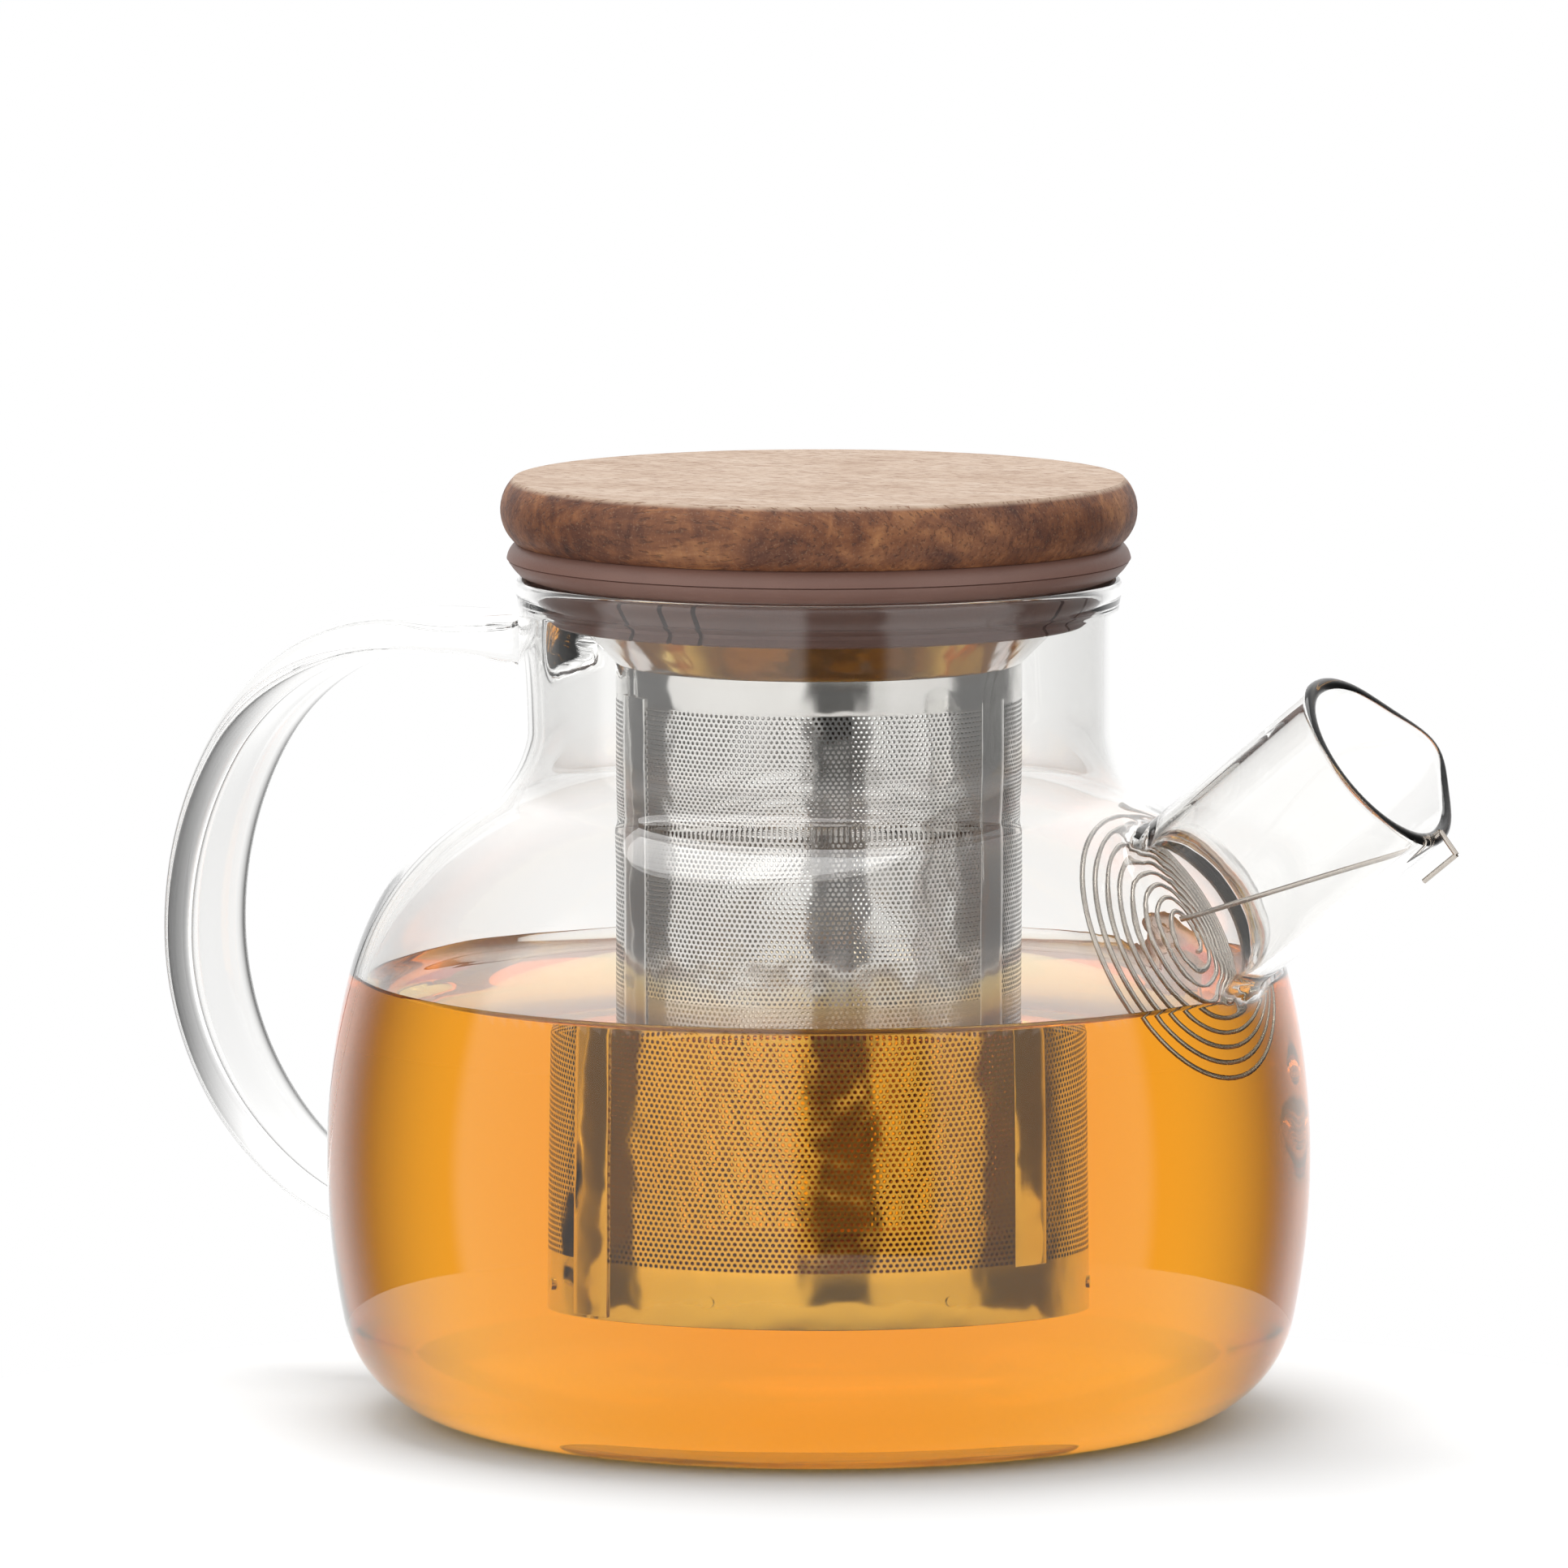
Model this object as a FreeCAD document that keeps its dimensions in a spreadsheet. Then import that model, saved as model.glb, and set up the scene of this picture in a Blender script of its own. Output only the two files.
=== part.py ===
import FreeCAD, Part
import math
import os

import Sketcher

# Glass teapot with a lift-out steel infuser, a wooden lid and a wire filter in its spout.
# The origin is the centre of the base on the table, +Z is up and +X points along the spout.

os.makedirs("parts", exist_ok=True)
doc = FreeCAD.newDocument("GlassTeapot")
V = FreeCAD.Vector
UP = V(0, 0, 1)
SIDE = V(0, 1, 0)

# ---------------------------------------------------------------- driving dimensions (mm, degrees)

dimensions = {
    # blown glass body
    "glass_wall": 2.4,
    "belly_radius": 73.7,
    "belly_height": 39.1,
    "base_corner_radius": 19.0,
    "lower_belly_radius": 120.4,
    "upper_belly_radius": 111.5,
    "upper_belly_angle": 14.5,
    "shoulder_radius": 45.2,
    "neck_fillet_radius": 11.5,
    "neck_radius": 44.9,
    "rim_height": 126.2,
    "rim_rounding": 1.1,
    # spout: a slightly conical tube, leaning up from the shoulder
    "spout_lean": 38.8,
    "mouth_reach": 93.4,
    "mouth_height": 103.8,
    "spout_length": 50.0,
    "spout_root_radius": 14.3,
    "spout_mouth_radius": 15.1,
    "spout_wall": 2.2,
    # the pouring lip pulled down out of the mouth's lowest point
    "lip_length": 16.0,
    "lip_root_drop": 11.5,
    "lip_mouth_drop": 12.6,
    "lip_root_radius": 3.2,
    "lip_mouth_radius": 5.0,
    # handle: a flat band of glass bent into a C
    "handle_width": 19.0,
    "handle_thick": 6.0,
    "handle_top": 115.0,
    "handle_crown_reach": 65.7,
    "handle_crown_radius": 38.2,
    "handle_shoulder_radius": 56.0,
    "handle_shoulder_angle": 30.0,
    "handle_tail_radius": 45.8,
    "handle_tail_angle": 84.0,
    # wire filter
    "wire_radius": 0.4,
    "coil_lean": 28.0,
    "coil_reach": 61.6,
    "coil_height": 75.6,
    "coil_depth": 5.0,
    "coil_inner_radius": 2.8,
    "coil_outer_radius": 21.0,
    "coil_turns": 8.0,
    "wire_lift": 1.0,
    "bend_back": 1.6,
    "hook_gap": 0.75,
    "hook_leg": 4.2,
    "hook_return": 5.6,
    # infuser
    "infuser_radius": 30.3,
    "infuser_bottom": 20.0,
    "infuser_top": 113.7,
    "sheet_thick": 0.5,
    "base_cup_height": 7.0,
    "sleeve_height": 4.2,
    "funnel_radius": 36.5,
    "funnel_height": 6.2,
    "rim_band_top": 128.0,
    "weld_count": 6,
    "weld_radius": 0.8,
    "weld_first_angle": 31.0,
    # silicone collar of the infuser
    "collar_bottom": 119.6,
    "collar_foot_height": 1.0,
    "collar_seal_height": 3.2,
    "collar_foot_radius": 39.9,
    "collar_waist_radius": 39.3,
    "collar_seal_radius": 42.1,
    "flange_bottom": 126.5,
    "flange_foot_radius": 44.3,
    "flange_radius": 46.3,
    "flange_top": 128.9,
    # silicone ring of the lid
    "ring_bottom": 129.1,
    "ring_radius": 46.6,
    "ring_shoulder_radius": 45.0,
    "ring_side_rounding": 3.2,
    "ring_skirt_radius": 35.7,
    "ring_skirt_bottom": 124.5,
    "ring_skirt_taper": 0.6,
    "ring_skirt_taper_height": 1.0,
    # wooden lid
    "lid_bottom": 131.5,
    "lid_top": 141.0,
    "lid_foot_radius": 45.3,
    "lid_top_radius": 45.6,
    "lid_side_rounding": 6.4,
    "spigot_radius": 33.0,
}

sheet = doc.addObject("Spreadsheet::Sheet", "dims")
for row, (alias, number) in enumerate(dimensions.items(), start=1):
    sheet.set(f"A{row}", alias)
    sheet.set(f"B{row}", str(number))
    sheet.setAlias(f"B{row}", alias)
doc.recompute()


def value(formula):
    """The number that a formula of the sheet's names gives now."""
    return float(sheet.evalExpression(formula))


# ---------------------------------------------------------------- helpers


def plane_sketch(body, name, role="XZ_Plane"):
    """A sketch on one of the body's own origin planes."""
    sketch = body.newObject("Sketcher::SketchObject", name)
    plane = next(item for item in body.Origin.OriginFeatures if item.Role == role)
    sketch.AttachmentSupport = [(plane, "")]
    sketch.MapMode = "FlatFace"
    return sketch


def free_sketch(name):
    """A sketch that stands by itself in the upright XZ plane."""
    sketch = doc.addObject("Sketcher::SketchObject", name)
    sketch.Placement = FreeCAD.Placement(V(0, 0, 0), FreeCAD.Rotation(V(1, 0, 0), 90))
    return sketch


def bind(sketch, kind, refs, formula):
    """A dimension of the sketch that follows a formula."""
    index = sketch.addConstraint(Sketcher.Constraint(kind, *refs, value(formula)))
    sketch.setExpression(f"Constraints[{index}]", formula)


def pin_point(sketch, geometry, end, across, up):
    """Holds one end of a line or arc at a place given by two formulas."""
    if across == "0":
        sketch.addConstraint(Sketcher.Constraint("PointOnObject", geometry, end, -2))
    else:
        bind(sketch, "DistanceX", (-1, 1, geometry, end), across)
    if up == "0":
        sketch.addConstraint(Sketcher.Constraint("PointOnObject", geometry, end, -1))
    else:
        bind(sketch, "DistanceY", (-1, 1, geometry, end), up)


def bulging_arc(start, end, radius):
    """An arc from start to end whose hollow side is on the left of the way there."""
    chord = end - start
    middle = (start + end) * 0.5
    left = V(-chord.y, chord.x, 0).normalize()
    centre = middle + left * math.sqrt(radius**2 - (chord.Length / 2) ** 2)
    first = math.atan2(start.y - centre.y, start.x - centre.x)
    last = math.atan2(end.y - centre.y, end.x - centre.x)
    return Part.ArcOfCircle(Part.Circle(centre, UP, radius), first, last)


def outline(sketch, corners):
    """A closed outline through corners of (across, up) or (across, up, radius of the arc to the next)."""
    points = [V(value(corner[0]), value(corner[1]), 0) for corner in corners]
    count = len(corners)
    for i, corner in enumerate(corners):
        start, end = points[i], points[(i + 1) % count]
        if len(corner) == 3:
            sketch.addGeometry(bulging_arc(start, end, value(corner[2])), False)
        else:
            sketch.addGeometry(Part.LineSegment(start, end), False)
    for i, corner in enumerate(corners):
        sketch.addConstraint(Sketcher.Constraint("Coincident", i, 2, (i + 1) % count, 1))
        pin_point(sketch, i, 1, corner[0], corner[1])
        if len(corner) == 3:
            bind(sketch, "Radius", (i,), corner[2])


def turned(name, corners):
    """A round piece: an outline turned once about the upright axis."""
    body = doc.addObject("PartDesign::Body", name)
    sketch = plane_sketch(body, name + "_outline")
    outline(sketch, corners)
    turn = body.newObject("PartDesign::Revolution", name + "_turn")
    turn.Profile = sketch
    turn.ReferenceAxis = (sketch, ["V_Axis"])
    turn.Angle = 360
    return body


def whole_turn(name, sketch):
    """Turns a free sketch once about the upright axis."""
    turn = doc.addObject("Part::Revolution", name)
    turn.Source = sketch
    turn.Axis = UP
    turn.Angle = 360
    turn.Solid = True
    return turn


def boolean(kind, name, base, tool):
    """A Part::Cut or Part::Fuse of two objects."""
    result = doc.addObject(kind, name)
    result.Base = base
    result.Tool = tool
    return result


def leaning_cone(name, lower, upper, length, reach, height, lean):
    """A cone whose own axis leans up from +X by lean, its lower end at the place given."""
    cone = doc.addObject("Part::Cone", name)
    cone.setExpression("Radius1", lower)
    cone.setExpression("Radius2", upper)
    cone.setExpression("Height", length)
    cone.Placement = FreeCAD.Placement(V(0, 0, 0), FreeCAD.Rotation(SIDE, 90 - value(lean)))
    cone.setExpression("Placement.Base.x", reach)
    cone.setExpression("Placement.Base.z", height)
    cone.setExpression("Placement.Rotation.Angle", f"90 - ({lean})")
    return cone


# ---------------------------------------------------------------- glass body


def pot_outline(sketch, inset):
    """The pot's half section, base to neck, drawn inset mm inside its outer skin."""
    belly, level = value("dims.belly_radius"), value("dims.belly_height")
    corner = value("dims.base_corner_radius")
    lower, upper = value("dims.lower_belly_radius"), value("dims.upper_belly_radius")
    shoulder, fillet = value("dims.shoulder_radius"), value("dims.neck_fillet_radius")
    neck, top = value("dims.neck_radius"), value("dims.rim_height")
    lift = math.radians(value("dims.upper_belly_angle"))
    gap = value(inset)

    # Each arc's centre lies on the line through its neighbour's centre and their joint.
    lower_centre = V(belly - lower, level, 0)
    upper_centre = V(belly - upper, level, 0)
    corner_across = lower_centre.x + math.sqrt((lower - corner) ** 2 - (corner - level) ** 2)
    corner_centre = V(corner_across, corner, 0)
    shoulder_centre = upper_centre + V(math.cos(lift), math.sin(lift), 0) * (upper - shoulder)
    fillet_across = neck + fillet
    rise = math.sqrt((shoulder + fillet) ** 2 - (fillet_across - shoulder_centre.x) ** 2)
    fillet_centre = V(fillet_across, shoulder_centre.y + rise, 0)
    sink = math.atan2(corner_centre.y - level, corner_centre.x - lower_centre.x)
    turn = math.atan2(rise, fillet_across - shoulder_centre.x)

    arcs = [
        (corner_centre, corner - gap, -math.pi / 2, sink),
        (lower_centre, lower - gap, sink, 0),
        (upper_centre, upper - gap, 0, lift),
        (shoulder_centre, shoulder - gap, lift, turn),
        (fillet_centre, fillet + gap, math.pi, math.pi + turn),
    ]
    for centre, radius, first, last in arcs:
        sketch.addGeometry(Part.ArcOfCircle(Part.Circle(centre, UP, radius), first, last), False)
    neck_foot = V(neck - gap, fillet_centre.y, 0)
    loop = [
        neck_foot,
        V(neck - gap, top, 0),
        V(0, top, 0),
        V(0, gap, 0),
        V(corner_centre.x, gap, 0),
    ]
    for start, end in zip(loop, loop[1:]):
        sketch.addGeometry(Part.LineSegment(start, end), False)

    # 0 corner, 1 lower belly, 2 upper belly, 3 shoulder, 4 neck fillet, 5 neck, 6 top, 7 axis, 8 floor
    tangent_ends = [(0, 2, 1, 1), (2, 2, 3, 1), (3, 2, 4, 2), (4, 1, 5, 1), (8, 2, 0, 1)]
    for first, first_end, second, second_end in tangent_ends:
        sketch.addConstraint(Sketcher.Constraint("Tangent", first, first_end, second, second_end))
    for first, second in ((1, 2), (5, 6), (6, 7), (7, 8)):
        sketch.addConstraint(Sketcher.Constraint("Coincident", first, 2, second, 1))
    sketch.addConstraint(Sketcher.Constraint("Vertical", 5))
    sketch.addConstraint(Sketcher.Constraint("Horizontal", 6))
    sketch.addConstraint(Sketcher.Constraint("Horizontal", 8))
    sketch.addConstraint(Sketcher.Constraint("PointOnObject", 7, 1, -2))
    sketch.addConstraint(Sketcher.Constraint("PointOnObject", 7, 2, -2))
    bind(sketch, "Radius", (0,), f"dims.base_corner_radius - {inset}")
    bind(sketch, "Radius", (1,), f"dims.lower_belly_radius - {inset}")
    bind(sketch, "Radius", (2,), f"dims.upper_belly_radius - {inset}")
    bind(sketch, "Radius", (3,), f"dims.shoulder_radius - {inset}")
    bind(sketch, "Radius", (4,), f"dims.neck_fillet_radius + {inset}")
    for centre_end in (1, 2):
        bind(sketch, "DistanceY", (-1, 1, centre_end, 3), "dims.belly_height")
    bind(sketch, "DistanceX", (-1, 1, 1, 2), f"dims.belly_radius - {inset}")
    bind(sketch, "DistanceX", (-1, 1, 5, 2), f"dims.neck_radius - {inset}")
    bind(sketch, "DistanceY", (-1, 1, 5, 2), "dims.rim_height")
    if gap:
        bind(sketch, "DistanceY", (-1, 1, 7, 2), inset)
    else:
        sketch.addConstraint(Sketcher.Constraint("PointOnObject", 7, 2, -1))


def pot_skin(name, inset):
    """The solid inside the pot's outer skin, or inside its inner one."""
    sketch = free_sketch(name + "_outline")
    pot_outline(sketch, inset)
    return whole_turn(name, sketch)


def on_spout(back, drop="0"):
    """Formulas for a place back from the mouth along the spout's axis, and drop below it square to it."""
    reach = f"dims.mouth_reach - ({back}) * cos(dims.spout_lean) + ({drop}) * sin(dims.spout_lean)"
    height = f"dims.mouth_height - ({back}) * sin(dims.spout_lean) - ({drop}) * cos(dims.spout_lean)"
    return reach, height


def spout_tube(name, inset, overrun):
    """The spout's cone with its pulled lip, inset mm inside its outer skin, and overrun mm past the mouth."""
    reach, height = on_spout("dims.spout_length")
    tube = leaning_cone(
        name + "_cone",
        f"dims.spout_root_radius - {inset}",
        f"dims.spout_mouth_radius - {inset}",
        f"dims.spout_length + {overrun}",
        reach,
        height,
        "dims.spout_lean",
    )
    reach, height = on_spout("dims.lip_length", "dims.lip_root_drop")
    lip_fall = "atan((dims.lip_mouth_drop - dims.lip_root_drop) / dims.lip_length) / 1 deg"
    lip = leaning_cone(
        name + "_lip",
        f"dims.lip_root_radius - {inset}",
        f"dims.lip_mouth_radius - {inset}",
        f"dims.lip_length + {overrun}",
        reach,
        height,
        f"dims.spout_lean - {lip_fall}",
    )
    return boolean("Part::Fuse", name, tube, lip)


pot_envelope = pot_skin("pot_envelope", "0")
pot_cavity = pot_skin("pot_cavity", "dims.glass_wall")
spout_outside = spout_tube("spout_outside", "0", "0")
spout_bore = spout_tube("spout_bore", "dims.spout_wall", "dims.spout_wall")

pot_hollow = boolean("Part::Fuse", "pot_hollow", pot_cavity, spout_bore)
pot_shell = boolean("Part::Cut", "pot_shell", pot_envelope, pot_hollow)
doc.recompute()


def edges_at(shape, height):
    """The numbers of the whole-circle edges of a shape that lie at one height."""
    near = 0.01
    found = []
    for number, edge in enumerate(shape.Edges, start=1):
        box = edge.BoundBox
        if abs(box.ZMin - height) < near and abs(box.ZMax - height) < near and box.XLength > near:
            found.append(number)
    return found


glass_body = doc.addObject("Part::Fillet", "glass_body")
glass_body.Base = pot_shell
rounding = value("dims.rim_rounding")
rim_edges = edges_at(pot_shell.Shape, value("dims.rim_height"))
glass_body.Edges = [(number, rounding, rounding) for number in rim_edges]

# ---------------------------------------------------------------- glass spout

spout_wall = boolean("Part::Cut", "spout_wall_blank", spout_outside, spout_bore)
glass_spout = boolean("Part::Cut", "glass_spout", spout_wall, pot_envelope)

# ---------------------------------------------------------------- glass handle

handle_band = doc.addObject("PartDesign::Body", "handle_band")


def handle_path(body):
    """The band's middle line in the XZ plane: out of the neck, round the crown and down into the belly."""
    sketch = plane_sketch(body, "handle_path")
    crown_radius = value("dims.handle_crown_radius")
    crown = V(-value("dims.handle_crown_reach"), value("dims.handle_top") - crown_radius, 0)
    shoulder_radius = value("dims.handle_shoulder_radius")
    tail_radius = value("dims.handle_tail_radius")
    bend = math.radians(180 - value("dims.handle_shoulder_angle"))
    tail_end = math.radians(180 + value("dims.handle_tail_angle"))
    shoulder = crown - V(math.cos(bend), math.sin(bend), 0) * (shoulder_radius - crown_radius)
    tail = shoulder - V(shoulder_radius - tail_radius, 0, 0)
    neck_start = V(-value("dims.neck_radius") + value("dims.glass_wall"), value("dims.handle_top"), 0)
    sketch.addGeometry(Part.LineSegment(neck_start, V(crown.x, neck_start.y, 0)), False)
    for centre, radius, first, last in (
        (crown, crown_radius, math.pi / 2, bend),
        (shoulder, shoulder_radius, bend, math.pi),
        (tail, tail_radius, math.pi, tail_end),
    ):
        sketch.addGeometry(Part.ArcOfCircle(Part.Circle(centre, UP, radius), first, last), False)
    for joint in range(3):
        sketch.addConstraint(Sketcher.Constraint("Tangent", joint, 2, joint + 1, 1))
    sketch.addConstraint(Sketcher.Constraint("Horizontal", 0))
    bind(sketch, "DistanceX", (0, 1, -1, 1), "dims.neck_radius - dims.glass_wall")
    bind(sketch, "DistanceY", (-1, 1, 0, 1), "dims.handle_top")
    bind(sketch, "DistanceX", (1, 1, -1, 1), "dims.handle_crown_reach")
    bind(sketch, "Radius", (1,), "dims.handle_crown_radius")
    bind(sketch, "Radius", (2,), "dims.handle_shoulder_radius")
    bind(sketch, "Radius", (3,), "dims.handle_tail_radius")
    return sketch


def handle_section(body):
    """The band's cross-section at the neck: flat, with round edges."""
    sketch = plane_sketch(body, "handle_section", "YZ_Plane")
    sketch.setExpression("AttachmentOffset.Base.z", "-(dims.neck_radius - dims.glass_wall)")
    half = (value("dims.handle_width") - value("dims.handle_thick")) / 2
    radius = value("dims.handle_thick") / 2
    level = value("dims.handle_top")
    sketch.addGeometry(Part.LineSegment(V(-half, level - radius, 0), V(half, level - radius, 0)), False)
    right_edge = Part.Circle(V(half, level, 0), UP, radius)
    sketch.addGeometry(Part.ArcOfCircle(right_edge, -math.pi / 2, math.pi / 2), False)
    sketch.addGeometry(Part.LineSegment(V(half, level + radius, 0), V(-half, level + radius, 0)), False)
    left_edge = Part.Circle(V(-half, level, 0), UP, radius)
    sketch.addGeometry(Part.ArcOfCircle(left_edge, math.pi / 2, 3 * math.pi / 2), False)
    for side in range(4):
        sketch.addConstraint(Sketcher.Constraint("Tangent", side, 2, (side + 1) % 4, 1))
    bind(sketch, "Radius", (1,), "dims.handle_thick / 2")
    bind(sketch, "DistanceX", (-1, 1, 1, 3), "(dims.handle_width - dims.handle_thick) / 2")
    bind(sketch, "DistanceX", (3, 3, -1, 1), "(dims.handle_width - dims.handle_thick) / 2")
    bind(sketch, "DistanceY", (-1, 1, 1, 3), "dims.handle_top")
    return sketch


handle_pipe = handle_band.newObject("PartDesign::AdditivePipe", "handle_pipe")
handle_pipe.Spine = (handle_path(handle_band), [])
handle_pipe.Profile = handle_section(handle_band)
glass_handle = boolean("Part::Cut", "glass_handle", handle_band, pot_envelope)

# ---------------------------------------------------------------- wire filter in the spout

coil_line = doc.addObject("Part::Helix", "coil_line")
coil_line.setExpression("Radius", "dims.coil_inner_radius")
coil_line.setExpression("Height", "dims.coil_depth")
coil_line.setExpression("Pitch", "dims.coil_depth / dims.coil_turns")
coil_line.setExpression("Angle", "atan((dims.coil_outer_radius - dims.coil_inner_radius) / dims.coil_depth)")
coil_wire = doc.addObject("Part::Circle", "coil_wire")
coil_wire.setExpression("Radius", "dims.wire_radius")
coil_wire.Placement = FreeCAD.Placement(V(0, 0, 0), FreeCAD.Rotation(V(1, 0, 0), 90))
coil_wire.setExpression("Placement.Base.x", "dims.coil_inner_radius")
filter_coil = doc.addObject("Part::Sweep", "filter_coil")
filter_coil.Sections = [coil_wire]
filter_coil.Spine = (coil_line, [])
filter_coil.Solid = True
filter_coil.Frenet = True
filter_coil.Placement = FreeCAD.Placement(V(0, 0, 0), FreeCAD.Rotation(SIDE, -90 - value("dims.coil_lean")))
filter_coil.setExpression("Placement.Base.x", "dims.coil_reach")
filter_coil.setExpression("Placement.Base.z", "dims.coil_height")
filter_coil.setExpression("Placement.Rotation.Angle", "-90 - dims.coil_lean")


def open_path(sketch, points):
    """Straight runs through places given by pairs of formulas."""
    places = [V(value(across), value(up), 0) for across, up in points]
    for start, end in zip(places, places[1:]):
        sketch.addGeometry(Part.LineSegment(start, end), False)
    for i in range(len(points) - 1):
        pin_point(sketch, i, 1, *points[i])
        if i:
            sketch.addConstraint(Sketcher.Constraint("Coincident", i - 1, 2, i, 1))
    pin_point(sketch, len(points) - 2, 2, *points[-1])


# The wire leaves the coil's inner end, crosses the spout and hooks over the lip's edge.
stem_start = (
    "dims.coil_reach - dims.coil_inner_radius * sin(dims.coil_lean)",
    "dims.coil_height + dims.coil_inner_radius * cos(dims.coil_lean)",
)
lip_floor = "dims.lip_mouth_drop + dims.lip_mouth_radius - dims.spout_wall"
stem_drop = f"({lip_floor} - dims.wire_radius - dims.wire_lift)"
hook_top = on_spout("-dims.hook_gap - dims.wire_radius", stem_drop)
hook_bottom = on_spout("-dims.hook_gap - dims.wire_radius", f"{stem_drop} + dims.hook_leg")
hook_end = on_spout("dims.hook_return", f"{stem_drop} + dims.hook_leg")
lip_point = on_spout("dims.bend_back", stem_drop)

stem_line = free_sketch("stem_line")
open_path(stem_line, [stem_start, lip_point, hook_top, hook_bottom, hook_end])
stem_wire = doc.addObject("Part::Circle", "stem_wire")
stem_wire.setExpression("Radius", "dims.wire_radius")
stem_climb = f"({lip_point[1]}) - ({stem_start[1]})"
stem_run = f"({lip_point[0]}) - ({stem_start[0]})"
stem_rise = f"atan(({stem_climb}) / ({stem_run})) / 1 deg"
stem_lean = 90 - value(stem_rise)
stem_wire.Placement = FreeCAD.Placement(V(0, 0, 0), FreeCAD.Rotation(SIDE, stem_lean))
stem_wire.setExpression("Placement.Base.x", stem_start[0])
stem_wire.setExpression("Placement.Base.z", stem_start[1])
filter_stem = doc.addObject("Part::Sweep", "filter_stem")
filter_stem.Sections = [stem_wire]
filter_stem.Spine = (stem_line, [])
filter_stem.Solid = True
filter_stem.Transition = "Round corner"

# ---------------------------------------------------------------- infuser

inner_wall = "dims.infuser_radius - dims.sheet_thick"
inner_sleeve = "dims.infuser_radius - 2 * dims.sheet_thick"
infuser_wall = turned(
    "infuser_wall",
    [
        (inner_wall, "dims.infuser_bottom"),
        ("dims.infuser_radius", "dims.infuser_bottom"),
        ("dims.infuser_radius", "dims.infuser_top"),
        (inner_wall, "dims.infuser_top"),
    ],
)
infuser_base = turned(
    "infuser_base",
    [
        ("0", "dims.infuser_bottom"),
        (inner_wall, "dims.infuser_bottom"),
        (inner_wall, "dims.infuser_bottom + dims.base_cup_height"),
        (inner_sleeve, "dims.infuser_bottom + dims.base_cup_height"),
        (inner_sleeve, "dims.infuser_bottom + dims.sheet_thick"),
        ("0", "dims.infuser_bottom + dims.sheet_thick"),
    ],
)
funnel_top = "dims.infuser_top + dims.funnel_height"
infuser_rim = turned(
    "infuser_rim",
    [
        (inner_sleeve, "dims.infuser_top - dims.sleeve_height"),
        (inner_wall, "dims.infuser_top - dims.sleeve_height"),
        (inner_wall, "dims.infuser_top"),
        ("dims.infuser_radius", "dims.infuser_top"),
        ("dims.funnel_radius", funnel_top),
        ("dims.funnel_radius", "dims.rim_band_top"),
        ("dims.funnel_radius - dims.sheet_thick", "dims.rim_band_top"),
        ("dims.funnel_radius - dims.sheet_thick", f"{funnel_top} + dims.sheet_thick / 2"),
        (inner_sleeve, "dims.infuser_top - dims.sheet_thick / 2"),
    ],
)

# Six spot welds hold the base cup inside the wall's plain bottom band.
weld = doc.addObject("Part::Cylinder", "weld")
weld.setExpression("Radius", "dims.weld_radius")
weld.setExpression("Height", "3 * dims.sheet_thick")
weld.Placement = FreeCAD.Placement(V(0, 0, 0), FreeCAD.Rotation(SIDE, 90))
weld.setExpression("Placement.Base.x", "dims.infuser_radius - 2.5 * dims.sheet_thick")
weld.setExpression("Placement.Base.z", "dims.infuser_bottom + dims.base_cup_height / 2")
doc.recompute()
infuser_welds = doc.addObject("Part::Feature", "infuser_welds")
weld_copies = []
for i in range(int(value("dims.weld_count"))):
    copy = weld.Shape.copy()
    copy.rotate(V(0, 0, 0), UP, value("dims.weld_first_angle") + i * 360 / value("dims.weld_count"))
    weld_copies.append(copy)
infuser_welds.Shape = Part.makeCompound(weld_copies)

infuser_collar = turned(
    "infuser_collar",
    [
        ("dims.funnel_radius", "dims.collar_bottom + dims.sheet_thick"),
        ("dims.collar_foot_radius", "dims.collar_bottom"),
        ("dims.collar_waist_radius", "dims.collar_bottom + dims.collar_foot_height"),
        ("dims.collar_seal_radius", "dims.collar_bottom + dims.collar_seal_height"),
        ("dims.collar_seal_radius", "dims.flange_bottom"),
        ("dims.flange_foot_radius", "dims.flange_bottom"),
        ("dims.flange_radius", "dims.flange_top"),
        ("dims.funnel_radius", "dims.flange_top"),
    ],
)

# ---------------------------------------------------------------- lid

lid_seal = turned(
    "lid_seal",
    [
        ("dims.spigot_radius", "dims.ring_skirt_bottom"),
        ("dims.ring_skirt_radius - dims.ring_skirt_taper", "dims.ring_skirt_bottom"),
        ("dims.ring_skirt_radius", "dims.ring_skirt_bottom + dims.ring_skirt_taper_height"),
        ("dims.ring_skirt_radius", "dims.ring_bottom"),
        ("dims.ring_radius", "dims.ring_bottom", "dims.ring_side_rounding"),
        ("dims.ring_shoulder_radius", "dims.lid_bottom"),
        ("dims.spigot_radius", "dims.lid_bottom"),
    ],
)
lid_disc = turned(
    "lid_disc",
    [
        ("0", "dims.ring_skirt_bottom"),
        ("dims.spigot_radius", "dims.ring_skirt_bottom"),
        ("dims.spigot_radius", "dims.lid_bottom"),
        ("dims.lid_foot_radius", "dims.lid_bottom", "dims.lid_side_rounding"),
        ("dims.lid_top_radius", "dims.lid_top"),
        ("0", "dims.lid_top"),
    ],
)

# ---------------------------------------------------------------- check and write

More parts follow.
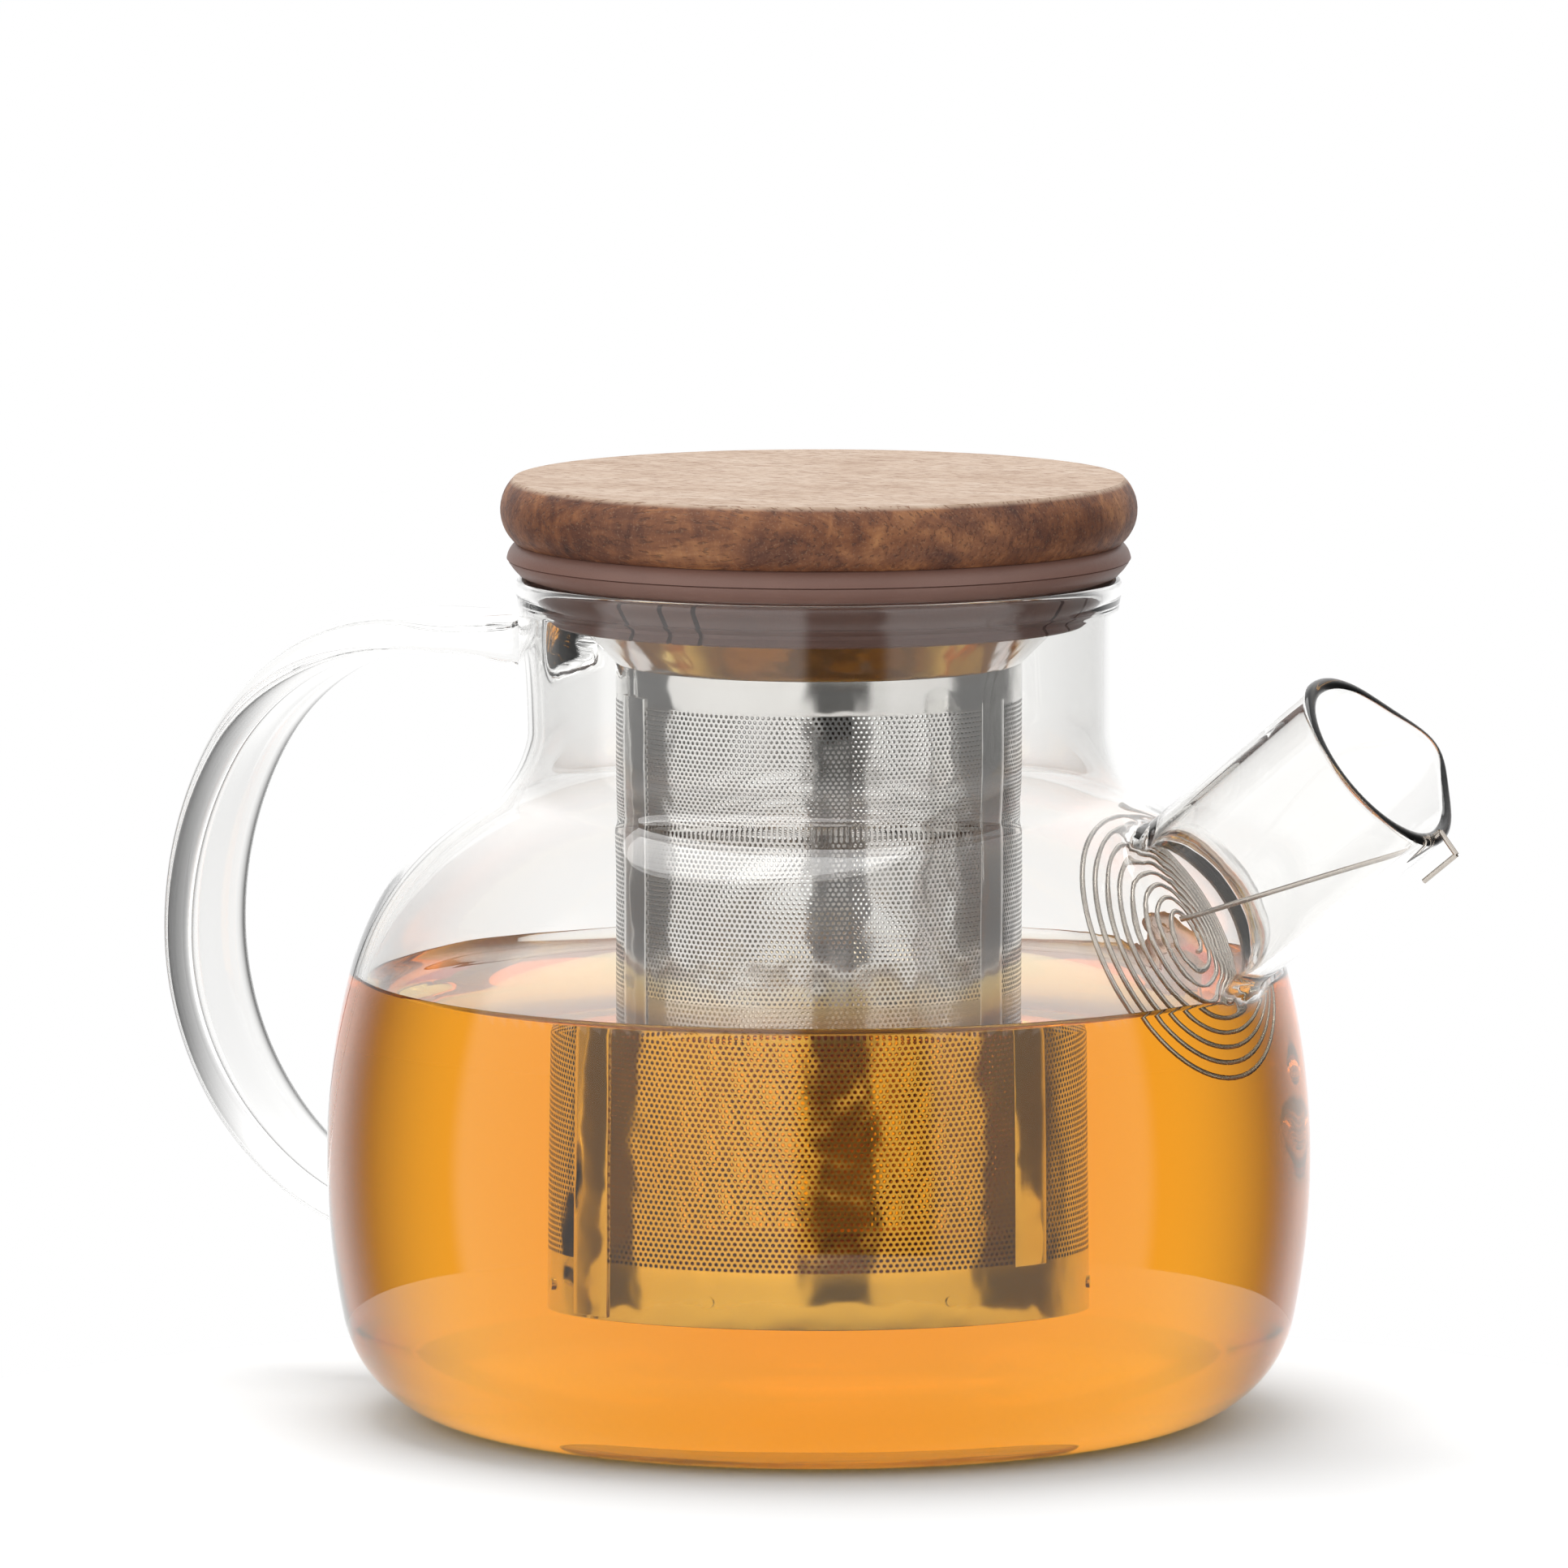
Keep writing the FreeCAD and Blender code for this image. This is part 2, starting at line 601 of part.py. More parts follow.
nodes = {
    "glass_body": glass_body,
    "glass_spout": glass_spout,
    "glass_handle": glass_handle,
    "filter_coil": filter_coil,
    "filter_stem": filter_stem,
    "infuser_wall": infuser_wall,
    "infuser_base": infuser_base,
    "infuser_rim": infuser_rim,
    "infuser_welds": infuser_welds,
    "infuser_collar": infuser_collar,
    "lid_seal": lid_seal,
    "lid_disc": lid_disc,
}
doc.recompute()
for item in doc.Objects:
    if "Invalid" in item.State or "Error" in item.State:
        raise RuntimeError(f"{item.Name} failed: {item.State}")
for name, item in nodes.items():
    item.Label = name
    shape = item.Shape
    if shape.isNull() or not shape.isValid():
        raise RuntimeError(f"{name} has no valid shape")
    shape.exportStep(f"parts/{name}.step")
    box = shape.optimalBoundingBox(False)
    print(
        f"{name}: {len(shape.Solids)} solids, {shape.Volume:.0f} mm3,"
        f" x {box.XMin:.1f}..{box.XMax:.1f} y {box.YMin:.1f}..{box.YMax:.1f} z {box.ZMin:.1f}..{box.ZMax:.1f}"
    )
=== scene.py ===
import math

import bmesh
import bpy
import numpy as np
from mathutils import Matrix, Vector, kdtree


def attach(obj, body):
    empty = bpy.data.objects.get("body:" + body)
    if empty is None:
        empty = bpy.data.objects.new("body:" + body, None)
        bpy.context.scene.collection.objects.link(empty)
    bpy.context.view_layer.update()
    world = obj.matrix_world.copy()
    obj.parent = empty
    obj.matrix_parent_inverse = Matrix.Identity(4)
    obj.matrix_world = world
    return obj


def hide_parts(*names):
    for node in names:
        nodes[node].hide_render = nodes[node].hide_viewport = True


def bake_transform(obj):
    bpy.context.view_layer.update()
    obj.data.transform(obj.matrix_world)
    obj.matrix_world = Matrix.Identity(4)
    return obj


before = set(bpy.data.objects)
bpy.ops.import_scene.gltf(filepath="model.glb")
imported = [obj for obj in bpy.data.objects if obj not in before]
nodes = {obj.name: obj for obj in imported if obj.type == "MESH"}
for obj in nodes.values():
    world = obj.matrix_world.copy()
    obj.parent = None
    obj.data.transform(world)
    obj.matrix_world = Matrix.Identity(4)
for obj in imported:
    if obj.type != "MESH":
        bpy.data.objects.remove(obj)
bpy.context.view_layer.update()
mm = 0.001

# the view and the studio

view = {
    "azimuth": 28.0,        # degrees round from the front, towards the spout
    "distance": 2300 * mm,
    "height": 360 * mm,
    "aimLeft": 5.2 * mm,    # how far left of the pot's axis the camera aims
    "aimHeight": 95 * mm,
    "lens": 355.5,
}

turn = math.radians(view["azimuth"])
toCamera = Vector((math.sin(turn), -math.cos(turn), 0))
toRight = Vector((math.cos(turn), math.sin(turn), 0))


def placeCamera():
    place = toCamera * view["distance"] + Vector((0, 0, view["height"]))
    aim = Vector((0, 0, view["aimHeight"])) - toRight * view["aimLeft"]
    bpy.ops.object.camera_add(location=place)
    camera = bpy.context.object
    camera.rotation_euler = (aim - place).to_track_quat("-Z", "Y").to_euler()
    camera.data.lens = view["lens"]
    camera.data.sensor_width = 36
    camera.data.clip_start = 0.05
    camera.data.clip_end = 50
    bpy.context.scene.camera = camera


# shader helpers


class Signal:
    # a socket that does sums
    def __init__(self, paint, socket):
        self.paint = paint
        self.socket = socket

    def sum(self, operation, *given):
        return self.paint.node("ShaderNodeMath", {"operation": operation}, dict(enumerate(given)))

    def __add__(self, other):
        return self.sum("ADD", self, other)

    def __radd__(self, other):
        return self.sum("ADD", other, self)

    def __sub__(self, other):
        return self.sum("SUBTRACT", self, other)

    def __rsub__(self, other):
        return self.sum("SUBTRACT", other, self)

    def __mul__(self, other):
        return self.sum("MULTIPLY", self, other)

    def ramp(self, low, high):
        # 0 below low, 1 above high, smooth between
        settings = {"interpolation_type": "SMOOTHSTEP"}
        return self.paint.node("ShaderNodeMapRange", settings, {0: self, 1: low, 2: high})

    def within(self, low, high, soft):
        return self.ramp(low - soft, low + soft) * (1 - self.ramp(high - soft, high + soft))


class Paint:
    def __init__(self, owner):
        owner.use_nodes = True
        self.owner = owner
        self.tree = owner.node_tree
        self.tree.nodes.clear()

    def node(self, kind, settings=None, inputs=None, output=0):
        node = self.tree.nodes.new(kind)
        for key, setting in (settings or {}).items():
            if key == "stops":
                self.setStops(node.color_ramp, setting)
            else:
                setattr(node, key, setting)
        for key, given in (inputs or {}).items():
            if isinstance(given, Signal):
                self.tree.links.new(given.socket, node.inputs[key])
            else:
                node.inputs[key].default_value = given
        return Signal(self, node.outputs[output]) if node.outputs else node

    def setStops(self, ramp, stops):
        while len(ramp.elements) > 1:
            ramp.elements.remove(ramp.elements[-1])
        ramp.elements[0].position = stops[0][0]
        ramp.elements[0].color = (*stops[0][1], 1)
        for place, colour in stops[1:]:
            ramp.elements.new(place).color = (*colour, 1)

    def coordinates(self, scale=(1, 1, 1), rotation=(0, 0, 0)):
        # the piece's own coordinates in millimetres, then stretched
        place = self.node("ShaderNodeTexCoord", output="Object")
        inputs = {0: place, 2: rotation, 3: [part / mm for part in scale]}
        return self.node("ShaderNodeMapping", {"vector_type": "POINT"}, inputs)

    def noise(self, vector, scale=1.0, detail=2.0, roughness=0.5, distortion=0.0):
        inputs = {"Vector": vector, "Scale": scale, "Detail": detail}
        inputs.update({"Roughness": roughness, "Distortion": distortion})
        return self.node("ShaderNodeTexNoise", None, inputs)

    def mix(self, factor, first, second):
        settings = {"data_type": "RGBA", "blend_type": "MIX"}
        inputs = {0: factor}
        for key, colour in ((6, first), (7, second)):
            inputs[key] = colour if isinstance(colour, Signal) else (*colour, 1)
        return self.node("ShaderNodeMix", settings, inputs, 2)

    def bump(self, height, distance):
        return self.node("ShaderNodeBump", None, {"Height": height, "Distance": distance, "Strength": 1.0})

    def principled(self, inputs):
        return self.node("ShaderNodeBsdfPrincipled", None, inputs)

    def finish(self, shader, volume=None):
        inputs = {0: shader}
        if volume:
            inputs[1] = volume
        self.node("ShaderNodeOutputMaterial", None, inputs)
        return self.owner


def newPaint(name):
    return Paint(bpy.data.materials.new(name))


# the studio

studio = {
    "wallLight": 0.90,
    "wallEdge": (126, 156),             # degrees round from the camera, where the wall fades in
    "leftBox": (-94.0, -5.0, 1.1),      # degrees right of the camera, from and to, and brightness
    "rightBox": (27.0, 84.0, 0.95),
    "boxEdge": 3.0,
    "roofLight": 0.85,
    "roofRise": (0.12, 0.8),            # the heights of the sky, 0 to 1, where the roof's light fades in
    "wallTop": (0.5, 0.85),             # and where the wall and the boxes fade out
    "dark": 0.15,
    "lampPlace": (-0.25, 0.15, 1.25),
    "lampPower": 7.0,
    "lampSize": 0.9,
    "floorRadius": 160 * mm,
    "floorAhead": 68 * mm,              # how far the floor is moved toward the camera
    "floorShade": 0.9,
}


def lightStudio():
    world = bpy.data.worlds.new("studioWorld")
    bpy.context.scene.world = world
    world.use_nodes = True
    paint = Paint(world)
    way = paint.node("ShaderNodeTexCoord", output="Generated")

    def along(direction):
        settings = {"operation": "DOT_PRODUCT"}
        return paint.node("ShaderNodeVectorMath", settings, {0: way, 1: tuple(direction)}, "Value")

    side = along(toRight)
    front = along(toCamera)
    up = along((0, 0, 1))
    bearing = side.sum("ARCTAN2", side, front) * (180 / math.pi)
    away = bearing.sum("ABSOLUTE", bearing)
    wall = away.ramp(*studio["wallEdge"]) * studio["wallLight"]
    boxes = []
    for start, end, power in (studio["leftBox"], studio["rightBox"]):
        boxes.append(bearing.within(start, end, studio["boxEdge"]) * power)
    left, right = boxes
    roof = up.ramp(*studio["roofRise"]) * studio["roofLight"]
    low = 1 - up.ramp(*studio["wallTop"])
    light = studio["dark"] + (wall + left + right) * low + roof
    seen = paint.node("ShaderNodeBackground", None, {0: (1, 1, 1, 1), 1: 1.0})
    lit = paint.node("ShaderNodeBackground", None, {0: (1, 1, 1, 1), 1: light})
    eye = paint.node("ShaderNodeLightPath", output="Is Camera Ray")
    sky = paint.node("ShaderNodeMixShader", None, {0: eye, 1: lit, 2: seen})
    paint.node("ShaderNodeOutputWorld", None, {0: sky})

    bpy.ops.object.light_add(type="AREA", location=studio["lampPlace"])
    lamp = bpy.context.object
    lamp.name = "roofLamp"
    lamp.data.shape = "DISK"
    lamp.data.size = studio["lampSize"]
    lamp.data.energy = studio["lampPower"]
    lamp.rotation_euler = (Vector((0, 0, 0)) - lamp.location).to_track_quat("-Z", "Y").to_euler()

    place = toCamera * studio["floorAhead"]
    bpy.ops.mesh.primitive_circle_add(
        vertices=128, radius=studio["floorRadius"], fill_type="NGON", location=(place.x, place.y, 0)
    )
    floor = bpy.context.object
    bpy.ops.object.transform_apply(location=True, rotation=False, scale=False)
    floor.name = "studioFloor"
    paint = newPaint("palePaper")
    grain = paint.noise(paint.coordinates(), 0.5, 3.0)
    shade = studio["floorShade"]
    colour = paint.mix(grain, (shade, shade, shade), (shade * 0.99, shade * 0.99, shade * 0.985))
    look = paint.principled({"Base Color": colour, "Roughness": 0.9})
    floor.data.materials.append(paint.finish(look))


# modelling helpers


def deselectAll():
    if bpy.context.mode != "OBJECT":
        bpy.ops.object.mode_set(mode="OBJECT")
    bpy.ops.object.select_all(action="DESELECT")


def grab(*pieces):
    deselectAll()
    for piece in pieces:
        piece.select_set(True)
    bpy.context.view_layer.objects.active = pieces[0]


def editAll(piece):
    grab(piece)
    bpy.ops.object.mode_set(mode="EDIT")
    bpy.ops.mesh.select_all(action="SELECT")


def endEdit():
    bpy.ops.object.mode_set(mode="OBJECT")


def startPoint(name, place):
    # one vertex at a place, selected in edit mode
    deselectAll()
    bpy.ops.mesh.primitive_plane_add(size=mm)
    piece = bpy.context.object
    piece.name = piece.data.name = name
    bpy.ops.object.mode_set(mode="EDIT")
    bpy.ops.mesh.select_all(action="SELECT")
    bpy.ops.mesh.merge(type="CENTER")
    bpy.ops.transform.translate(value=place)
    return piece


def drawLine(name, points):
    # points are (across, up) in millimetres in the XZ plane
    places = [Vector((across * mm, 0, up * mm)) for across, up in points]
    piece = startPoint(name, places[0])
    for here, there in zip(places, places[1:]):
        bpy.ops.mesh.extrude_region_move(TRANSFORM_OT_translate={"value": there - here})
    return piece


def closeUp(gap=2e-6):
    bpy.ops.mesh.select_all(action="SELECT")
    bpy.ops.mesh.remove_doubles(threshold=gap)
    bpy.ops.mesh.normals_make_consistent(inside=False)


def turned(name, points, spans):
    # a line turned about the upright axis, in spans of (degrees, steps)
    piece = drawLine(name, points)
    bpy.ops.mesh.select_all(action="SELECT")
    for degrees, steps in spans:
        bpy.ops.mesh.spin(steps=steps, angle=math.radians(degrees), center=(0, 0, 0), axis=(0, 0, 1))
    closeUp()
    endEdit()
    return piece


def applyAll(piece):
    grab(piece)
    for modifier in list(piece.modifiers):
        bpy.ops.object.modifier_apply(modifier=modifier.name)


def combine(piece, other, operation):
    cut = piece.modifiers.new(operation, "BOOLEAN")
    cut.operation = operation
    cut.solver = "EXACT"
    cut.material_mode = "TRANSFER"
    cut.object = other
    applyAll(piece)
    bpy.data.objects.remove(other)
    return piece


def arcLine(centre, radius, first, last, step):
    # points along an arc, first and last in degrees
    count = max(2, math.ceil(radius * math.radians(abs(last - first)) / step))
    points = []
    for i in range(count + 1):
        angle = math.radians(first + (last - first) * i / count)
        points.append((centre[0] + radius * math.cos(angle), centre[1] + radius * math.sin(angle)))
    return points


def straight(start, end, step):
    length = math.dist(start, end)
    count = max(1, math.ceil(length / step))
    return [
        (start[0] + (end[0] - start[0]) * i / count, start[1] + (end[1] - start[1]) * i / count)
        for i in range(count + 1)
    ]


def joined(*runs):
    # runs of points end to end, without the doubled joints
    points = [runs[0][0]]
    for run in runs:
        points += [point for point in run if math.dist(point, points[-1]) > 0.01]
    return points


def smooth(value):
    value = min(1, max(0, value))
    return value * value * (3 - 2 * value)


def readPlaces(piece):
    places = np.empty(len(piece.data.vertices) * 3)
    piece.data.vertices.foreach_get("co", places)
    return places.reshape(-1, 3)


def writePlaces(piece, places):
    piece.data.vertices.foreach_set("co", places.ravel())
    piece.data.update()


def shadeSmooth(piece, angle=35):
    grab(piece)
    bpy.ops.object.shade_smooth_by_angle(angle=math.radians(angle))


# the glass pot

pot = {
    "wall": 2.4, "bellyRadius": 73.7, "bellyHeight": 39.1, "cornerRadius": 19.0,
    "lowerRadius": 120.4, "upperRadius": 111.5, "upperAngle": 14.5, "shoulderRadius": 45.2,
    "filletRadius": 11.5, "neckRadius": 44.9, "rimHeight": 126.2, "rimRounding": 1.1,
    "beadSwell": 0.45, "beadDrop": 1.7, "beadReach": 2.4,
    "puntDepth": 1.5, "puntRadius": 44.0, "floorBoss": 2.4, "bossRadius": 30.0,
    # degrees and steps round the axis, finer where the spout and the handle join
    "spans": ((23, 25), (145, 72), (24, 26), (145, 72), (23, 25)),
}


def potProfile(inset):
    # the pot's half section from the base's middle to the neck's foot, inset inside its outer skin
    belly, level, corner = pot["bellyRadius"], pot["bellyHeight"], pot["cornerRadius"]
    lower, upper, lift = pot["lowerRadius"], pot["upperRadius"], pot["upperAngle"]
    shoulder, fillet, neck = pot["shoulderRadius"], pot["filletRadius"], pot["neckRadius"]
    lowerMiddle = (belly - lower, level)
    upperMiddle = (belly - upper, level)
    cornerMiddle = (lowerMiddle[0] + math.sqrt((lower - corner) ** 2 - (corner - level) ** 2), corner)
    reach = upper - shoulder
    lean = math.radians(lift)
    shoulderMiddle = (upperMiddle[0] + reach * math.cos(lean), level + reach * math.sin(lean))
    rise = math.sqrt((shoulder + fillet) ** 2 - (neck + fillet - shoulderMiddle[0]) ** 2)
    filletMiddle = (neck + fillet, shoulderMiddle[1] + rise)
    sink = math.degrees(math.atan2(corner - level, cornerMiddle[0] - lowerMiddle[0]))
    bend = math.degrees(math.atan2(rise, neck + fillet - shoulderMiddle[0]))
    return joined(
        straight((0, inset), (cornerMiddle[0], inset), 3.0),
        arcLine(cornerMiddle, corner - inset, -90, sink, 1.1),
        arcLine(lowerMiddle, lower - inset, sink, 0, 1.8),
        arcLine(upperMiddle, upper - inset, 0, lift, 1.6),
        arcLine(shoulderMiddle, shoulder - inset, lift, bend, 1.0),
        arcLine(filletMiddle, fillet + inset, 180 + bend, 180, 0.9),
    )


def withBoss(points, floor):
    # swells the middle of a flat floor into a low boss
    swell, reach = pot["floorBoss"], pot["bossRadius"]
    return [
        (across, up + swell * smooth(1 - across / reach)) if up < floor + 0.01 else (across, up)
        for across, up in points
    ]


def neckLine(radius, foot, outward):
    # up the neck from its foot, over a small bead and round the rim
    top, rounding = pot["rimHeight"], pot["rimRounding"]
    points = []
    for across, up in straight((radius, foot), (radius, top - rounding), 1.0):
        swell = pot["beadSwell"] * smooth(1 - abs(up - (top - pot["beadDrop"])) / pot["beadReach"]) * outward
        points.append((across + swell, up))
    across = points[-1][0]
    middle = (across - outward * rounding, top - rounding)
    first, last = (0, 90) if outward > 0 else (180, 90)
    return joined(points, arcLine(middle, rounding, first, last, 0.22))


spout = {
    "lean": 38.8, "mouth": (93.4, 103.8), "length": 50.0, "rootRadius": 14.3, "mouthRadius": 15.1,
    "wall": 2.2, "rounding": 1.02, "lipDrop": 2.75, "lipLength": 17.0, "lipSpread": 25.0,
    "lipCurve": 1.6, "lipOut": 0.35, "lipLimit": (20.0, 5.0), "seamReach": 7.0, "seamRounds": 46,
}

spoutAxis = Vector((math.cos(math.radians(spout["lean"])), 0, math.sin(math.radians(spout["lean"]))))
spoutMouth = Vector((spout["mouth"][0] * mm, 0, spout["mouth"][1] * mm))
# the spout's own frame: x towards its underside, z out of the mouth
spoutPlace = Matrix.Translation(spoutMouth) @ spoutAxis.to_track_quat("Z", "Y").to_matrix().to_4x4()


def spoutSolid(name, inset, overrun):
    # the tube's outside with a rounded lip, or the bore with a flared end, made upright and then leaned
    length, rounding = spout["length"], spout["rounding"]
    root, mouth = spout["rootRadius"] - inset, spout["mouthRadius"] - inset
    wall = straight((root, -length - overrun), (mouth, -rounding), 1.0)
    if overrun:
        end = arcLine((mouth + rounding, -rounding), rounding, 180, 90, 0.22)
        cap = [(mouth + rounding, 2.0), (0, 2.0)]
    else:
        end = arcLine((mouth - rounding, -rounding), rounding, 0, 90, 0.22)
        cap = [(0, 0)]
    points = joined([(0, -length - overrun)], wall, end, cap)
    piece = turned(name, points, ((360, 96),))
    piece.data.transform(spoutPlace)
    return piece


handle = {
    "width": 19.0, "thick": 6.0, "top": 115.0, "crownReach": 65.7, "crownRadius": 38.2,
    "shoulderRadius": 56.0, "shoulderAngle": 30.0, "tailRadius": 45.8, "tailAngle": 84.0,
    "rootInset": 9.0, "flare": 0.34, "flareReach": 16.0, "flareWidth": 0.45, "seamReach": 5.0, "seamRounds": 26,
}


def handleBand(name):
    # a stadium section drawn at the neck, pulled straight out and then spun round three arcs
    radius = handle["thick"] / 2
    half = handle["width"] / 2 - radius
    start = -(pot["neckRadius"] - handle["rootInset"])
    top = handle["top"]
    deselectAll()
    bpy.ops.mesh.primitive_circle_add(
        vertices=40, radius=radius * mm, location=(start * mm, 0, top * mm), rotation=(0, math.pi / 2, 0)
    )
    piece = bpy.context.object
    piece.name = piece.data.name = name
    bpy.ops.object.transform_apply(location=True, rotation=True, scale=True)
    for vertex in piece.data.vertices:
        if abs(vertex.co.y) > 1e-6:
            vertex.co.y += math.copysign(half * mm, vertex.co.y)
    bpy.ops.object.mode_set(mode="EDIT")
    mesh = bmesh.from_edit_mesh(piece.data)
    for edge in mesh.edges:
        edge.select_set(edge.calc_length() > half * 0.5 * mm)
    bpy.ops.mesh.subdivide(number_cuts=5)
    bpy.ops.mesh.select_all(action="SELECT")
    run = handle["crownReach"] + start
    steps = 24
    for _ in range(steps):
        bpy.ops.mesh.extrude_region_move(TRANSFORM_OT_translate={"value": (-run / steps * mm, 0, 0)})
    crown = (-handle["crownReach"], top - handle["crownRadius"])
    bend = math.radians(180 - handle["shoulderAngle"])
    shift = handle["shoulderRadius"] - handle["crownRadius"]
    shoulder = (crown[0] - math.cos(bend) * shift, crown[1] - math.sin(bend) * shift)
    tail = (shoulder[0] - (handle["shoulderRadius"] - handle["tailRadius"]), shoulder[1])
    arcs = (
        (crown, 90 - handle["shoulderAngle"], 30),
        (shoulder, handle["shoulderAngle"], 20),
        (tail, handle["tailAngle"], 50),
    )
    for centre, degrees, steps in arcs:
        bpy.ops.mesh.spin(
            steps=steps, angle=math.radians(degrees), center=(centre[0] * mm, 0, centre[1] * mm), axis=(0, 1, 0)
        )
    bpy.ops.mesh.select_all(action="SELECT")
    bpy.ops.mesh.fill_holes(sides=0)
    closeUp()
    endEdit()
    # the band's straight upper run flares into the neck
    places = readPlaces(piece)
    middle = top * mm
    for place in places:
        if place[2] > 95 * mm and place[0] > -64 * mm:
            away = -place[0] / mm - pot["neckRadius"] + 1
            grow = handle["flare"] * smooth(1 - away / handle["flareReach"])
            place[1] *= 1 + grow * handle["flareWidth"]
            place[2] = middle + (place[2] - middle) * (1 + grow)
    writePlaces(piece, places)
    return piece


def markSeam(piece, colour):
    # a stand-in material that shows, after the pieces are joined, where each face came from
    piece.data.materials.clear()
    piece.data.materials.append(colour)


def facesMarked(piece, name, below):
    # the faces that came from one marked solid and lie under a height
    slot = [material.name for material in piece.data.materials].index(name)
    return [face.index for face in piece.data.polygons if face.material_index == slot and face.center.z < below]


def softenSeams(piece, rules):
    # melts the seams between differently marked faces, as a flame does
    editAll(piece)
    bpy.ops.mesh.remove_doubles(threshold=0.12 * mm)
    bpy.ops.mesh.quads_convert_to_tris()
    endEdit()
    mesh = bmesh.new()
    mesh.from_mesh(piece.data)
    mesh.verts.ensure_lookup_table()
    names = [slot.name for slot in piece.data.materials]
    for pair, reach, rounds in rules:
        seam = set()
        for edge in mesh.edges:
            kinds = {names[face.material_index] for face in edge.link_faces}
            if kinds == set(pair):
                seam.update(edge.verts)
        if not seam:
            print("no seam between", pair)
            continue
        tree = kdtree.KDTree(len(seam))
        for number, vertex in enumerate(seam):
            tree.insert(vertex.co, number)
        tree.balance()
        near = []
        for vertex in mesh.verts:
            distance = tree.find(vertex.co)[2]
            if distance < reach * mm:
                near.append((vertex, smooth(1 - distance / (reach * mm))))
        for _ in range(rounds):
            moves = []
            for vertex, weight in near:
                ring = [edge.other_vert(vertex).co for edge in vertex.link_edges]
                middle = sum(ring, Vector()) / len(ring)
                moves.append((middle - vertex.co) * (0.6 * weight))
            for (vertex, weight), move in zip(near, moves):
                vertex.co += move
    mesh.to_mesh(piece.data)
    mesh.free()


def pullLip(piece):
    # the pouring lip, drawn down and out of the mouth's lowest side
    back = spoutPlace.inverted()
    spread = math.radians(spout["lipSpread"])
    length = spout["lipLength"] * mm
    widest, highest = (limit * mm for limit in spout["lipLimit"])
    places = readPlaces(piece)
    for i, place in enumerate(places):
        local = back @ Vector(place)
        if local.z < -length or math.hypot(local.x, local.y) > widest or local.z > highest:
            continue
        angle = math.atan2(local.y, local.x)
        axial = smooth(1 + local.z / length) ** spout["lipCurve"]
        pull = spout["lipDrop"] * mm * math.exp(-((angle / spread) ** 2)) * axial
        local.x += pull
        local.z += pull * spout["lipOut"]
        places[i] = spoutPlace @ local
    writePlaces(piece, places)


def makeGlass():
    outer = potProfile(0)
    for i, (across, up) in enumerate(outer):
        if up < 0.01 and across < pot["puntRadius"]:
            outer[i] = (across, pot["puntDepth"] * smooth(1 - across / pot["puntRadius"]))
    inner = withBoss(potProfile(pot["wall"]), pot["wall"])
    outerLine = joined(outer, neckLine(pot["neckRadius"], outer[-1][1], 1), [(0, pot["rimHeight"])])
    innerRadius = pot["neckRadius"] - pot["wall"]
    innerLine = joined(inner, neckLine(innerRadius, inner[-1][1], -1), [(innerRadius + 1.1, 130), (0, 130)])
    marks = {name: bpy.data.materials.new(name) for name in ("skin", "tube", "band", "cavity", "bore")}
    skin = turned("potGlass", outerLine, pot["spans"])
    markSeam(skin, marks["skin"])
    tube = spoutSolid("spoutTube", 0, 0)
    markSeam(tube, marks["tube"])
    band = handleBand("handleBand")
    markSeam(band, marks["band"])
    cavity = turned("potCavity", innerLine, pot["spans"])
    markSeam(cavity, marks["cavity"])
    bore = spoutSolid("spoutBore", spout["wall"], 0.6)
    markSeam(bore, marks["bore"])
    combine(skin, tube, "UNION")
    combine(skin, band, "UNION")
    combine(cavity, bore, "UNION")
    combine(skin, cavity, "DIFFERENCE")
    softenSeams(
        skin,
        (
            (("skin", "tube"), spout["seamReach"], spout["seamRounds"]),
            (("skin", "band"), handle["seamReach"], handle["seamRounds"]),
            (("cavity", "bore"), 3.5, 14),
        ),
    )
    pullLip(skin)
    wet = facesMarked(skin, "cavity", (tea["level"] + 0.8) * mm)
    for mark in marks.values():
        bpy.data.materials.remove(mark)
    skin.data.materials.clear()
    skin.data.materials.append(clearGlass)
    skin.data.materials.append(wetGlass)
    for face in skin.data.polygons:
        face.material_index = 0
    for number in wet:
        skin.data.polygons[number].material_index = 1
    shadeSmooth(skin, 60)
    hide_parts("glass_body", "glass_spout", "glass_handle")
    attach(skin, "pot")
    return skin


def makeGlassPaint(name, shine):
    paint = newPaint(name)
    ripple = paint.noise(paint.coordinates((0.03, 0.03, 0.012)), 1.0, 1.0)
    tint = paint.noise(paint.coordinates((0.02, 0.02, 0.02)), 1.0, 2.0)
    inputs = {
        "Base Color": paint.mix(tint, (0.955, 0.950, 0.935), (0.985, 0.985, 0.98)),
        "Roughness": 0.0,
        "IOR": 1.47,
        "Transmission Weight": 1.0,
        "Specular Tint": (shine, shine, shine, 1),
        "Normal": paint.bump(ripple, 0.3 * mm),
    }
    return paint.finish(paint.principled(inputs))


# the tea

tea = {
    "level": 65.0, "meniscus": 1.9, "meniscusReach": 1.6, "overlap": 0.2,
    "clearing": (0.985, 0.79, 0.15), "strength": 40.0,
}


